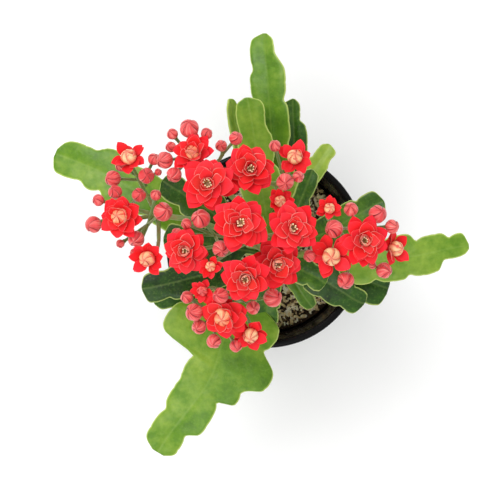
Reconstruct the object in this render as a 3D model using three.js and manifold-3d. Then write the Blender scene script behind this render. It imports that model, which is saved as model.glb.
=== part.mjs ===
// Potted kalanchoe with double flowers: nursery pot, soil, main stem, leaves, flower stems,
// flowers and bud sprays. Millimetres, +Z up, origin at the centre of the pot's foot.
import * as THREE from 'three';
import { LoftGeometry } from 'three/addons/geometries/LoftGeometry.js';
import { mergeVertices } from 'three/addons/utils/BufferGeometryUtils.js';
import Module from 'manifold-3d';

const wasm = await Module();
wasm.setup();

// ---------------------------------------------------------------- driving sizes
const POT_HEIGHT = 80;
const RIM_RADIUS = 45;
const FOOT_RADIUS = 32;
const WALL = 1.2;
const LIP = 2.4; // how far the rim stands out from the wall
const LIP_DEPTH = 5;
const SOIL_DROP = 20; // rim down to the soil
const SOIL_LUMP = 0.9; // how far the soil's top rises and falls
const DRAIN_HOLES = 6;
const DRAIN_RADIUS = 3.5;
const DRAIN_RING = 20; // from the pot's axis out to the centre of each drain hole

const STEM_RADIUS = 3.4;
const STEM_HEIGHT = 46; // soil up to the top of the main stem
const BRANCH_RADIUS = 1.5; // flower stems where they leave the main stem
const FORK_RADIUS = 1.1; // each branch where it leaves a flower stem's hub
const PEDICEL_RADIUS = 0.75;
const PETIOLE_RADIUS = 1.7;
const BLADE_HALF_THICKNESS = 1.05;

const FLOWER_RADIUS = 11.2; // an open flower
const FLOWER_FOOT = 8.5; // centre of a flower down to the foot of its calyx
const CALYX_FOOT = 1.1; // radius of the calyx where the pedicel ends
const GAP = 0.3; // air left wherever two pieces meet
const COARSENESS = 0.06; // surface detail smaller than this is smoothed away

const SOIL_TOP = POT_HEIGHT - SOIL_DROP;
const CROWN = new THREE.Vector3(5, -3, SOIL_TOP); // where the main stem leaves the soil

const COLOURS = {
  pot: '#141317',
  soil: '#3a2c22',
  stem: '#6d7a3a',
  branch: '#7d8448',
  leaf: '#4d7f22',
  flower: '#e2323c',
  bud: '#cf5058',
};

// ---------------------------------------------------------------- helpers
const radians = THREE.MathUtils.degToRad;
const mix = THREE.MathUtils.lerp;
const range = (count) => [...Array(count).keys()];

// A point of the plant: x and y from the pot's axis, z up from the soil.
const spot = (x, y, z) => new THREE.Vector3(x, y, SOIL_TOP + z);

function toSolid(geometry) {
  const plain = new THREE.BufferGeometry();
  plain.setAttribute('position', geometry.attributes.position);
  plain.setIndex(geometry.index);
  const merged = mergeVertices(plain, 1e-3);
  const mesh = new wasm.Mesh({
    numProp: 3,
    vertProperties: new Float32Array(merged.attributes.position.array),
    triVerts: new Uint32Array(merged.index.array),
  });
  return new wasm.Manifold(mesh);
}

function toGeometry(solid) {
  const mesh = solid.getMesh();
  const geometry = new THREE.BufferGeometry();
  geometry.setAttribute('position', new THREE.BufferAttribute(mesh.vertProperties, 3));
  geometry.setIndex(new THREE.BufferAttribute(mesh.triVerts, 1));
  geometry.computeVertexNormals();
  return geometry;
}

const loft = (rings) => toSolid(new LoftGeometry(rings, { capStart: true, capEnd: true }));
const unite = (solids) => solids.reduce((whole, solid) => whole.add(solid));

// Points round a centre, in the plane of two unit directions.
function circle(centre, side, up, radius, count) {
  return range(count).map((i) => {
    const angle = (2 * Math.PI * i) / count;
    return centre.clone()
      .addScaledVector(side, radius * Math.cos(angle))
      .addScaledVector(up, radius * Math.sin(angle));
  });
}

// A round stem along a curve, thinning from one radius to another.
function tube(curve, startRadius, endRadius, sides, steps) {
  const frames = curve.computeFrenetFrames(steps, false);
  const rings = range(steps + 1).map((i) => {
    const radius = mix(startRadius, endRadius, i / steps);
    return circle(curve.getPointAt(i / steps), frames.normals[i], frames.binormals[i], radius, sides);
  });
  return loft(rings);
}

// Rings drawn round the +Z axis, set down at a centre and leaning over by so many degrees
// towards a heading.
function place(rings, centre, heading, lean) {
  const tilt = new THREE.Matrix4().makeRotationZ(radians(heading))
    .multiply(new THREE.Matrix4().makeRotationY(radians(lean)))
    .multiply(new THREE.Matrix4().makeRotationZ(radians(-heading)))
    .setPosition(centre);
  return rings.map((ring) => ring.map((point) => point.clone().applyMatrix4(tilt)));
}

const axisOf = (heading, lean) => new THREE.Vector3(
  Math.sin(radians(lean)) * Math.cos(radians(heading)),
  Math.sin(radians(lean)) * Math.sin(radians(heading)),
  Math.cos(radians(lean)),
);

// ---------------------------------------------------------------- pot and soil
const potWallAt = (z) => mix(FOOT_RADIUS, RIM_RADIUS - LIP, z / POT_HEIGHT);

function pot() {
  const profile = [
    [0, 0], [FOOT_RADIUS - 1, 0], [FOOT_RADIUS, 1],
    [potWallAt(POT_HEIGHT - LIP_DEPTH), POT_HEIGHT - LIP_DEPTH],
    [RIM_RADIUS - 0.4, POT_HEIGHT - LIP_DEPTH], [RIM_RADIUS, POT_HEIGHT - LIP_DEPTH + 0.5],
    [RIM_RADIUS, POT_HEIGHT - 0.8], [RIM_RADIUS - 0.8, POT_HEIGHT],
    [potWallAt(POT_HEIGHT) - WALL, POT_HEIGHT],
    [potWallAt(2 * WALL) - WALL, 2 * WALL], [FOOT_RADIUS - 3, WALL], [0, WALL],
  ].map(([x, y]) => new THREE.Vector2(x, y));
  const shell = new THREE.LatheGeometry(profile, 40);
  shell.rotateX(Math.PI / 2);
  const holes = range(DRAIN_HOLES).map((i) => {
    const angle = (2 * Math.PI * i) / DRAIN_HOLES;
    const hole = new THREE.CylinderGeometry(DRAIN_RADIUS, DRAIN_RADIUS, 4 * WALL, 12);
    hole.rotateX(Math.PI / 2);
    hole.translate(DRAIN_RING * Math.cos(angle), DRAIN_RING * Math.sin(angle), 0);
    return toSolid(hole);
  });
  return toSolid(shell).subtract(unite(holes));
}

// The soil fills the pot up to a slightly lumpy top.
function soil() {
  const floor = 2 * WALL + 1.5 * GAP;
  const edge = SOIL_TOP - 1;
  const inside = (z) => potWallAt(z) - WALL - 1.5 * GAP;
  const profile = [
    [0, floor], [inside(floor) - 0.5, floor], [inside(edge), edge], [0.84 * inside(edge), SOIL_TOP],
    [0.55 * inside(edge), SOIL_TOP + 0.8], [0.25 * inside(edge), SOIL_TOP + 1.2], [0, SOIL_TOP + 1],
  ].map(([x, y]) => new THREE.Vector2(x, y));
  const heap = new THREE.LatheGeometry(profile, 28);
  heap.rotateX(Math.PI / 2);
  const { position } = heap.attributes;
  range(position.count)
    .filter((i) => position.getZ(i) > SOIL_TOP - 0.5)
    .forEach((i) => {
      const wave = Math.sin(0.21 * position.getX(i) + 1) * Math.cos(0.26 * position.getY(i));
      position.setZ(i, position.getZ(i) + SOIL_LUMP * wave);
    });
  return toSolid(heap);
}

// ---------------------------------------------------------------- stems
function mainStem() {
  const curve = new THREE.CatmullRomCurve3([
    CROWN.clone().add(new THREE.Vector3(0.6, 0.2, -9)),
    CROWN.clone().add(new THREE.Vector3(-0.5, 0.5, 0.4 * STEM_HEIGHT)),
    CROWN.clone().add(new THREE.Vector3(0, 0, STEM_HEIGHT)),
  ]);
  return tube(curve, 1.15 * STEM_RADIUS, 0.8 * STEM_RADIUS, 10, 8);
}

// A flower stem rises along its own points to a hub, where it splits into one branch for each
// flower and one for each bud spray that it carries.
function flowerStem({ path, flowers, sprays }) {
  const curve = new THREE.CatmullRomCurve3(path);
  const hub = path[path.length - 1];
  const trunk = tube(curve, BRANCH_RADIUS, 0.8 * BRANCH_RADIUS, 6, 5);
  const toFlowers = flowers.map((flower) => {
    const axis = axisOf(flower.heading, flower.lean);
    const foot = flower.centre.clone().addScaledVector(axis, -(FLOWER_FOOT * flower.scale + GAP));
    const bend = foot.clone().addScaledVector(axis, -0.45 * hub.distanceTo(foot));
    const curveToFoot = new THREE.QuadraticBezierCurve3(hub, bend, foot);
    return tube(curveToFoot, FORK_RADIUS, PEDICEL_RADIUS, 5, 4);
  });
  const toSprays = sprays.map((spray) => tube(
    new THREE.LineCurve3(hub, spray.stalkStart), FORK_RADIUS, 1.1 * PEDICEL_RADIUS, 5, 2,
  ));
  return unite([trunk, ...toFlowers, ...toSprays]);
}

// ---------------------------------------------------------------- leaves
// A leaf runs out from the main stem on a petiole and widens into rounded lobes with notches
// between them. Each side lists its lobes as [where it ends along the leaf, half width].
const NOTCH = 0.82; // half width at a notch, as a share of the narrower lobe beside it
const LOBE_LEAN = 0.36; // how far lobes point forward, as a share of their half width

function halfWidth(along, stalk, lobes) {
  if (along <= stalk) return PETIOLE_RADIUS;
  const index = Math.min(lobes.findIndex(([end]) => along <= end + 1e-6), lobes.length - 1);
  const [end, width] = lobes[index];
  const start = index ? lobes[index - 1][0] : stalk;
  const before = index ? NOTCH * Math.min(width, lobes[index - 1][1]) : PETIOLE_RADIUS;
  const after = index < lobes.length - 1 ? NOTCH * Math.min(width, lobes[index + 1][1]) : 0;
  const through = THREE.MathUtils.clamp((along - start) / (end - start), 0, 1);
  const bulge = Math.sqrt(1 - Math.abs(2 * through - 1) ** 3);
  const floor = mix(before, after, through);
  return floor + (width - floor) * bulge;
}

// Where the leaf's cross-sections stand: at the notches, and a few inside each lobe.
function stations(stalk, sides) {
  const marks = [0, 0.4 * stalk, 0.75 * stalk, stalk];
  sides.forEach((lobes) => lobes.forEach(([end], index) => {
    const start = index ? lobes[index - 1][0] : stalk;
    [0.2, 0.55, 0.85, 1].forEach((share) => marks.push(mix(start, end, share)));
  }));
  const spaced = [];
  marks.filter((mark) => mark < 0.94).sort((a, b) => a - b).forEach((mark) => {
    if (spaced.length === 0 || mark - spaced[spaced.length - 1] > 0.018) spaced.push(mark);
  });
  return [...spaced, 0.955, 0.98, 0.996];
}

function leaf({ base, heading, bend, rise, droop, length, stalk, left, right, roll, cup }) {
  const steps = 60;
  const spine = [CROWN.clone().setZ(SOIL_TOP + base)];
  const headingAt = (along) => radians(heading + bend * along);
  const slopeAt = (along) => radians(mix(rise, droop, along));
  const aheadAt = (along) => new THREE.Vector3(
    Math.cos(headingAt(along)) * Math.cos(slopeAt(along)),
    Math.sin(headingAt(along)) * Math.cos(slopeAt(along)),
    Math.sin(slopeAt(along)),
  );
  range(steps).forEach((i) => {
    spine.push(spine[i].clone().addScaledVector(aheadAt((i + 0.5) / steps), length / steps));
  });
  const spineAt = (along) => {
    const index = Math.min(Math.floor(along * steps), steps - 1);
    return spine[index].clone().lerp(spine[index + 1], along * steps - index);
  };
  const rings = stations(stalk, [left, right]).map((along) => {
    const ahead = aheadAt(along);
    const level = new THREE.Vector3(-Math.sin(headingAt(along)), Math.cos(headingAt(along)), 0);
    const turned = radians(roll) * THREE.MathUtils.smoothstep(along, 0, stalk);
    const side = level.applyAxisAngle(ahead, turned);
    const up = ahead.clone().cross(side);
    const middle = spineAt(along);
    const inBlade = THREE.MathUtils.smoothstep(along, 0.8 * stalk, 1.25 * stalk);
    const thick = mix(PETIOLE_RADIUS, BLADE_HALF_THICKNESS, inBlade) * (1 - 0.6 * along ** 12);
    const point = (across, face) => {
      const width = halfWidth(along, stalk, across > 0 ? left : right);
      const out = across * width;
      return middle.clone()
        .addScaledVector(side, out)
        .addScaledVector(up, face * thick * (1 - 0.6 * across * across) + cup * inBlade * Math.abs(out))
        .addScaledVector(ahead, LOBE_LEAN * Math.abs(out) * inBlade * (1 - along));
    };
    return [
      point(1, 0), point(0.6, 1), point(0, 1), point(-0.6, 1),
      point(-1, 0), point(-0.6, -1), point(0, -1), point(0.6, -1),
    ];
  });
  return loft(rings);
}

// ---------------------------------------------------------------- flowers and buds
// A ring of petal tips with notches between them.
function petalRing(petals, radius, height, notch, shift) {
  return range(2 * petals).map((i) => {
    const angle = (Math.PI * i) / petals;
    const reach = (i + shift) % 2 ? radius * notch : radius;
    return new THREE.Vector3(reach * Math.cos(angle), reach * Math.sin(angle), height);
  });
}

// A double flower: calyx and tube below, a wide outer whorl, an upright inner one. Openness 1
// spreads the outer whorl flat, lower values fold it up round the centre.
function flower({ scale, open, petals }) {
  const radius = FLOWER_RADIUS * scale;
  const lift = radius * mix(0.9, 0.02, open);
  return [
    petalRing(petals, CALYX_FOOT, -FLOWER_FOOT * scale, 1, 0),
    petalRing(petals, 0.26 * radius, -0.55 * radius, 1, 0),
    petalRing(petals, 0.22 * radius, -0.3 * radius, 1, 0),
    petalRing(petals, mix(0.8, 0.62, open) * radius, 0.6 * lift - 0.14 * radius, 0.95, 0),
    petalRing(petals, radius, lift, 0.8, 0),
    petalRing(petals, 0.6 * radius, lift + 0.1 * radius, 0.95, 0),
    petalRing(petals, 0.52 * radius, lift + 0.27 * radius, 0.8, 1),
    petalRing(petals, 0.24 * radius, lift + 0.16 * radius, 1, 0),
    petalRing(petals, 0.1 * radius, lift + 0.22 * radius, 1, 0),
  ];
}

const flowerHead = (row) => loft(place(flower(row), row.centre, row.heading, row.lean));

// A bud: each step of its outline is a radius and a height, as shares of the bud's radius.
function bud(radius) {
  const right = new THREE.Vector3(1, 0, 0);
  const back = new THREE.Vector3(0, 1, 0);
  const outline = [[0.45, -1.05], [0.96, -0.35], [0.9, 0.5], [0.25, 1.15]];
  return outline.map(([share, height]) => (
    circle(new THREE.Vector3(0, 0, height * radius), right, back, share * radius, 6)
  ));
}

// Neighbouring buds on pedicels that meet at one short stalk.
function spray({ buds, hub, stalkStart }) {
  const stalk = tube(new THREE.LineCurve3(stalkStart, hub), PEDICEL_RADIUS, PEDICEL_RADIUS, 5, 1);
  const heads = buds.map(([x, y, z, radius]) => {
    const centre = spot(x, y, z);
    const out = centre.clone().sub(hub).setZ(0);
    const heading = THREE.MathUtils.radToDeg(Math.atan2(out.y, out.x));
    const lean = Math.min(35, 3 * out.length());
    const axis = axisOf(heading, lean);
    const foot = centre.clone().addScaledVector(axis, -0.9 * radius);
    const bend = foot.clone().addScaledVector(axis, -0.5 * hub.distanceTo(foot));
    const curve = new THREE.QuadraticBezierCurve3(hub, bend, foot);
    const pedicel = tube(curve, PEDICEL_RADIUS, PEDICEL_RADIUS, 4, 2);
    return loft(place(bud(radius), centre, heading, lean)).add(pedicel);
  });
  return unite([stalk, ...heads]);
}

// ---------------------------------------------------------------- the plant's own layout
// Leaves: base is the height on the main stem, heading and bend turn the midrib seen from
// above, rise and droop are its slope at the stem and at the tip.
const LEAVES = {
  leaf_front_left: {
    base: 20, heading: -120, bend: -2, rise: 34, droop: -24, length: 108.5, stalk: 0.22, roll: 0, cup: 0.1,
    left: [[0.37, 19], [0.545, 26], [0.66, 18], [0.86, 12], [1, 7]],
    right: [[0.3, 17], [0.54, 29], [0.65, 10.5], [0.8, 9.8], [1, 9.4]],
  },
  leaf_far_left: {
    base: 20, heading: 150, bend: 13, rise: 32, droop: -20, length: 114, stalk: 0.3, roll: 4, cup: 0.1,
    left: [[0.55, 13], [0.76, 12], [0.84, 8.6], [1, 6.4]],
    right: [[0.55, 9], [0.72, 9], [0.815, 12.4], [1, 10]],
  },
  leaf_back_long: {
    base: 18, heading: 92, bend: 4, rise: 32, droop: -8, length: 103, stalk: 0.26, roll: -20, cup: 0.24,
    left: [[0.5, 10], [0.7, 8.8], [0.84, 7.2], [1, 6.2]],
    right: [[0.5, 11], [0.7, 10], [0.88, 9.4], [1, 5.6]],
  },
  leaf_back_right: {
    base: 11, heading: 74, bend: 22, rise: 30, droop: 2, length: 74.5, stalk: 0.3, roll: 6, cup: 0.2,
    left: [[0.7, 8], [0.84, 5], [1, 3.6]],
    right: [[0.6, 7], [0.86, 6.6], [1, 4]],
  },
  leaf_back_front: {
    base: 30, heading: 107.7, bend: -14, rise: 42, droop: 8, length: 78.3, stalk: 0.3, roll: -4, cup: 0.1,
    left: [[0.62, 9], [0.8, 7], [1, 6.4]],
    right: [[0.6, 10], [0.81, 8.6], [1, 6.4]],
  },
  leaf_back_edge_on: {
    base: 26, heading: 118, bend: -22, rise: 30, droop: 14, length: 78, stalk: 0.34, roll: 66, cup: 0.05,
    left: [[0.7, 7], [1, 6]],
    right: [[0.66, 7], [1, 6]],
  },
  leaf_back_pale: {
    base: 28, heading: 81, bend: -34, rise: 28, droop: -4, length: 57, stalk: 0.34, roll: -8, cup: 0.12,
    left: [[0.6, 5], [0.84, 5], [1, 3.8]],
    right: [[0.6, 5], [0.88, 5.5], [1, 4]],
  },
  leaf_upper_oval: {
    base: 41, heading: 68, bend: 0, rise: 32, droop: 4, length: 43, stalk: 0.34, roll: 10, cup: 0.16,
    left: [[0.66, 5], [1, 4.2]],
    right: [[0.7, 5], [1, 4.2]],
  },
  leaf_right_back: {
    base: 32, heading: 26, bend: 4, rise: 34, droop: 4, length: 56, stalk: 0.34, roll: -6, cup: 0.12,
    left: [[0.6, 6.5], [0.8, 7], [1, 6]],
    right: [[0.6, 8], [0.8, 8], [1, 6.5]],
  },
  leaf_right_long: {
    base: 26, heading: -11, bend: 28, rise: 30, droop: -14, length: 89, stalk: 0.3, roll: 4, cup: 0.1,
    left: [[0.55, 9], [0.72, 11], [0.9, 8.6], [1, 6.5]],
    right: [[0.5, 10], [0.67, 9.5], [0.85, 8.6], [1, 4]],
  },
  leaf_front_right: {
    base: 34, heading: -27, bend: -8, rise: 24, droop: -24, length: 45.5, stalk: 0.3, roll: 8, cup: 0.08,
    left: [[0.6, 9], [0.8, 8.5], [1, 6.5]],
    right: [[0.56, 8], [0.78, 7.5], [1, 6]],
  },
  leaf_front_right_round: {
    base: 23, heading: -16, bend: -4, rise: 26, droop: -14, length: 53.5, stalk: 0.4, roll: -4, cup: 0.14,
    left: [[0.7, 10], [1, 11]],
    right: [[0.74, 9], [1, 8.5]],
  },
  leaf_upper_small: {
    base: 45, heading: -30, bend: 0, rise: 24, droop: -6, length: 25, stalk: 0.25, roll: 0, cup: 0.16,
    left: [[0.65, 6], [1, 5.5]],
    right: [[0.7, 6.5], [1, 5.5]],
  },
  leaf_front_narrow: {
    base: 29, heading: -58, bend: 4, rise: 16, droop: -24, length: 29, stalk: 0.3, roll: 12, cup: 0.14,
    left: [[0.64, 4], [1, 3.8]],
    right: [[0.6, 3.8], [1, 3.8]],
  },
  leaf_front_small: {
    base: 33, heading: -104, bend: 16, rise: 18, droop: -28, length: 32.5, stalk: 0.3, roll: 0, cup: 0.12,
    left: [[0.5, 4.5], [0.74, 4.8], [1, 4]],
    right: [[0.56, 7], [1, 7]],
  },
  leaf_left_dish: {
    base: 32, heading: -163, bend: -4, rise: 26, droop: 2, length: 64, stalk: 0.34, roll: -10, cup: 0.3,
    left: [[0.6, 7], [0.82, 7], [1, 6]],
    right: [[0.58, 9], [0.8, 9], [1, 8]],
  },
  leaf_left_under: {
    base: 13, heading: -158, bend: -2, rise: 30, droop: -4, length: 62, stalk: 0.36, roll: -4, cup: 0.16,
    left: [[0.62, 6], [1, 5.5]],
    right: [[0.6, 8], [1, 9]],
  },
  leaf_left_serrated: {
    base: 36, heading: 147, bend: 0, rise: 34, droop: 0, length: 64, stalk: 0.3, roll: 0, cup: 0.14,
    left: [[0.5, 8], [0.64, 9], [0.8, 8], [1, 6.5]],
    right: [[0.52, 8], [0.68, 9], [0.84, 7.5], [1, 6]],
  },
  leaf_left_crenate: {
    base: 41, heading: 172, bend: -4, rise: 30, droop: 0, length: 53, stalk: 0.3, roll: 4, cup: 0.14,
    left: [[0.52, 7.5], [0.72, 9], [1, 8]],
    right: [[0.48, 7.5], [0.66, 9], [0.84, 8], [1, 6]],
  },
};

// Flowers: place, the way they lean, size against an open flower, openness, petals in a whorl.
const FLOWERS = {
  flower_left: [-60, 13, 105, 170, 16, 0.84, 0.9, 8],
  flower_back_left: [-24, 26, 120, 130, 8, 1.04, 1, 8],
  flower_back_left_folded: [-30, 38, 110, 115, 24, 0.78, 0.4, 6],
  flower_back: [-7, 32, 115, 90, 14, 1, 1, 8],
  flower_centre: [-11, 10, 128, 90, 3, 1.04, 1, 8],
  flower_centre_right: [10, 8, 121, 20, 8, 0.97, 1, 8],
  flower_front_right: [4, -6, 113, -60, 10, 0.97, 1, 8],
  flower_front: [-9, -12, 123, -110, 10, 0.92, 0.85, 8],
  flower_front_low: [-18, -27, 112, -110, 18, 0.92, 0.95, 8],
  flower_left_inner: [-33, -1, 116, 190, 12, 0.86, 0.95, 8],
  flower_right: [39, 3, 112, 0, 12, 0.92, 0.95, 8],
  half_open_far_left: [-57, 37, 99, 110, 40, 0.62, 0.35, 5],
  half_open_left: [-49, -4, 103, 210, 22, 0.62, 0.3, 5],
  half_open_back: [11, 37, 105, 80, 24, 0.6, 0.35, 5],
  half_open_centre: [5, 19, 111, 60, 8, 0.45, 0.2, 5],
  half_open_left_inner: [-23, -7, 118, 240, 10, 0.4, 0.1, 5],
  half_open_front_left: [-26, -17, 112, 210, 20, 0.4, 0.15, 5],
  half_open_front: [-7, -35, 105, 270, 26, 0.6, 0.35, 5],
  half_open_right_back: [25, 16, 110, 60, 16, 0.42, 0.25, 5],
  half_open_right: [26, -3, 112, 250, 12, 0.72, 0.5, 6],
  half_open_far_right: [52, 0, 100, 0, 48, 0.6, 0.35, 5],
};

// Bud sprays: each bud is [x, y, height above the soil, radius].
const SPRAYS = {
  buds_far_left_back: [[-60.7, 34.4, 94.6, 2.5], [-64, 29, 97, 3.3], [-50, 30, 101, 3.3],
    [-47, 37, 98, 2.5], [-45.2, 31.6, 98.6, 1.5]],
  buds_far_left: [[-62.8, 23.4, 101.4, 2.9], [-70, 20, 98, 2.5], [-72, 10, 99, 3.5], [-53, 22, 103, 2.9]],
  buds_left_inner: [[-46, 22, 103, 2.3], [-43, 15, 106, 3.9], [-54, 4, 103, 3.4], [-55, -2, 97, 2.1],
    [-61, 2, 97, 1.8]],
  buds_back_left: [[-39, 47, 106, 2.3], [-32, 49, 109, 3.9], [-25, 47, 108, 2.4], [-39.6, 41.6, 107.6, 2.2],
    [-42, 36, 110, 3.5], [-38, 30, 113, 3.1]],
  buds_back: [[-19, 42, 109, 2.4], [-13, 45, 110, 2.8]],
  buds_back_right: [[3, 42, 108, 2.4], [7, 27, 116, 3.5], [12.4, 29.2, 112.6, 2.4]],
  buds_left_centre: [[-27, 12, 119, 3.8], [-33, 10, 115, 2.2], [-37, 6, 112, 2.4], [-19, 0, 119, 3.4]],
  buds_front_left: [[-33, -20, 108, 2.6], [-30, -26, 112, 3.6], [-28, -32, 108, 3], [-22, -38, 106, 3],
    [-13, -40, 104, 2.6]],
  buds_front: [[-19, -19, 121, 3.2], [-6, -24, 112, 2.8], [2, -20, 111, 3.8]],
  buds_right: [[27, 8, 112, 3.7], [34, 16, 110, 2.9], [45, 14, 108, 3.7], [51, 9, 107, 2.9]],
  buds_front_far_right: [[48, -9, 103, 3.3], [43.4, -6.8, 100.6, 1.6], [32, -13, 107, 3.5],
    [17, -3, 112, 2.5]],
};

// Flower stems: the points each one rises through, ending at its hub, and what it carries.
const FLOWER_STEMS = {
  stem_left: {
    path: [[5, -3, 34], [-13, 5, 70], [-30, 12, 88], [-46, 14, 86]],
    flowers: ['flower_left', 'half_open_far_left', 'half_open_left'],
    sprays: ['buds_far_left_back', 'buds_far_left', 'buds_left_inner'],
  },
  stem_back_left: {
    path: [[5, -3, 38], [-7, 14, 64], [-24, 31, 88]],
    flowers: ['flower_back_left', 'flower_back_left_folded'],
    sprays: ['buds_back_left', 'buds_back'],
  },
  stem_back: {
    path: [[5, -3, 42], [7, 12, 64], [4, 27, 88]],
    flowers: ['flower_back', 'half_open_back', 'half_open_centre'],
    sprays: ['buds_back_right'],
  },
  stem_centre: {
    path: [[5, -3, 44], [0, -1, 70], [-8, 3, 92]],
    flowers: ['flower_centre', 'flower_centre_right', 'flower_front_right', 'flower_left_inner',
      'half_open_left_inner'],
    sprays: ['buds_left_centre'],
  },
  stem_front: {
    path: [[5, -3, 36], [-3, -15, 62], [-14, -22, 86]],
    flowers: ['flower_front', 'flower_front_low', 'half_open_front_left', 'half_open_front'],
    sprays: ['buds_front_left', 'buds_front'],
  },
  stem_right: {
    path: [[5, -3, 40], [20, -2, 62], [35, 3, 84]],
    flowers: ['flower_right', 'half_open_right_back', 'half_open_right', 'half_open_far_right'],
    sprays: ['buds_right', 'buds_front_far_right'],
  },
};

// ---------------------------------------------------------------- assembly
function readFlower([x, y, z, heading, lean, scale, open, petals]) {
  return { centre: spot(x, y, z), heading, lean, scale, open, petals };
}

// A spray's hub hangs under its buds, drawn in towards the hub of the stem that carries it.
function readSpray(buds, stemHub) {
  const mean = buds.reduce((sum, [x, y, z]) => sum.add(spot(x, y, z)), new THREE.Vector3())
    .divideScalar(buds.length);
  const hub = mean.clone().lerp(stemHub, 0.35).setZ(mean.z - 13);
  const inward = stemHub.clone().sub(hub).normalize();
  return { buds, hub, stalkStart: hub.clone().addScaledVector(inward, 3) };
}

const flowers = Object.fromEntries(Object.entries(FLOWERS).map(([name, row]) => [name, readFlower(row)]));
const sprays = {};
const flowerStems = Object.entries(FLOWER_STEMS).map(([name, row]) => {
  const path = row.path.map((point) => spot(...point));
  const hub = path[path.length - 1];
  row.sprays.forEach((spray) => {
    sprays[spray] = readSpray(SPRAYS[spray], hub);
  });
  const branches = row.sprays.map((spray) => {
    const { stalkStart } = sprays[spray];
    const inward = hub.clone().sub(stalkStart).normalize();
    return { stalkStart: stalkStart.clone().addScaledVector(inward, GAP) };
  });
  const heads = row.flowers.map((flower) => flowers[flower]);
  return [name, flowerStem({ path, flowers: heads, sprays: branches })];
});

// Pieces in the order in which they keep their shape: each one gives way to those before it.
const pieces = [
  ['pot', pot(), COLOURS.pot, 0.35],
  ['main_stem', mainStem(), COLOURS.stem, 0.7],
  ...flowerStems.map(([name, solid]) => [name, solid, COLOURS.branch, 0.6]),
  ...Object.entries(sprays).map(([name, row]) => [name, spray(row), COLOURS.bud, 0.5]),
  ...Object.entries(flowers)
    .sort(([, a], [, b]) => b.centre.z - a.centre.z)
    .map(([name, row]) => [name, flowerHead(row), COLOURS.flower, 0.5]),
  ...Object.entries(LEAVES)
    .sort(([, a], [, b]) => b.base - a.base)
    .map(([name, row]) => [name, leaf(row), COLOURS.leaf, 0.45]),
  ['soil', soil(), COLOURS.soil, 0.95],
];

// The same solid grown outwards by a distance, for clearing what meets it.
function swollen(solid, distance) {
  const geometry = toGeometry(solid);
  const { position, normal } = geometry.attributes;
  range(position.count).forEach((i) => {
    position.setXYZ(
      i,
      position.getX(i) + distance * normal.getX(i),
      position.getY(i) + distance * normal.getY(i),
      position.getZ(i) + distance * normal.getZ(i),
    );
  });
  return toSolid(geometry);
}

function boxesMeet(first, second) {
  const a = first.boundingBox();
  const b = second.boundingBox();
  return [0, 1, 2].every((axis) => a.min[axis] - GAP < b.max[axis] && b.min[axis] - GAP < a.max[axis]);
}

const largestPart = (solid) => solid.decompose().reduce((best, part) => (
  part.volume() > best.volume() ? part : best
));

// What is left of a solid once everything within reach of the keepers is cut away.
function clearOf(solid, keepers) {
  const trimmed = keepers
    .filter((keeper) => boxesMeet(solid, keeper.solid))
    .filter((keeper) => solid.intersect(keeper.grown).volume() > 0)
    .reduce((rest, keeper) => rest.subtract(keeper.grown), solid);
  return largestPart(largestPart(trimmed).simplify(COARSENESS));
}

const plant = new THREE.Group();
plant.name = 'potted_kalanchoe';
const placed = [];
pieces.forEach(([name, whole, color, roughness]) => {
  const solid = clearOf(whole, placed);
  placed.push({ solid, grown: swollen(solid, GAP + 2 * COARSENESS).add(solid) });
  const material = new THREE.MeshStandardMaterial({ color, roughness, metalness: 0 });
  const mesh = new THREE.Mesh(toGeometry(solid), material);
  mesh.name = name;
  plant.add(mesh);
});

export default plant;
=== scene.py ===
"""Potted kalanchoe with double red flowers, seen from above on a pale floor.

Every piece takes its place and size from the CAD node that it stands for: leaves are rebuilt along the
node's own blade, flowers stand on the node's own axis, buds fill the places where their node is thickest,
and stems are the node's skin made round.
"""

import math
import random

import bmesh
import bpy
import numpy as np
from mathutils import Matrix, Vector
from mathutils.bvhtree import BVHTree


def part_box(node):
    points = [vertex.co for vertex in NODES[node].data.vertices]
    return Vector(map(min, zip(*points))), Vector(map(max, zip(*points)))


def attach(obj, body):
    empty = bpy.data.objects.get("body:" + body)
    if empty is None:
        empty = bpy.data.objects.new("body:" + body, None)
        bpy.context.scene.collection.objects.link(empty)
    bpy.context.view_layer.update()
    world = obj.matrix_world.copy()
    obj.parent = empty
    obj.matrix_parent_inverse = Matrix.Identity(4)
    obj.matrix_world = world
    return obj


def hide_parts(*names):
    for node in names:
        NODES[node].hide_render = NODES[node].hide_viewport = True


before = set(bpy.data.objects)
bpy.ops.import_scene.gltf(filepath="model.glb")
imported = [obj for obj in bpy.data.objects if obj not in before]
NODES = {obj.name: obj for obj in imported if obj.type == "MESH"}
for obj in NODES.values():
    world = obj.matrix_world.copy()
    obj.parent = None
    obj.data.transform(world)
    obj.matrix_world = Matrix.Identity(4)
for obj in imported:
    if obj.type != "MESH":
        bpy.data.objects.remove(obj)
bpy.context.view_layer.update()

MM = 0.001
TAU = 2 * math.pi

# How the frame's plant is put together, in metres.
FLOWER_FOOT = 0.759  # centre of a flower down to its foot, as a share of its radius
SPRAY_DROP = 13 * MM  # buds' mean height down to the point where their pedicels meet
SPRAY_STALK = 3 * MM  # from there down to the flower stem
THINNEST_BUD = 1.05 * MM  # anything deeper inside a spray than this is a bud
BUD_SWELL = 1.36  # a bud's radius over its middle's depth inside the node's coarse skin
PEDICEL = 0.75 * MM


# ---------------------------------------------------------------- small mathematics
def smoothstep(low, high, value):
    share = np.clip((value - low) / (high - low), 0, 1)
    return share * share * (3 - 2 * share)


def unit(vector):
    return vector / max(np.linalg.norm(vector), 1e-12)


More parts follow.
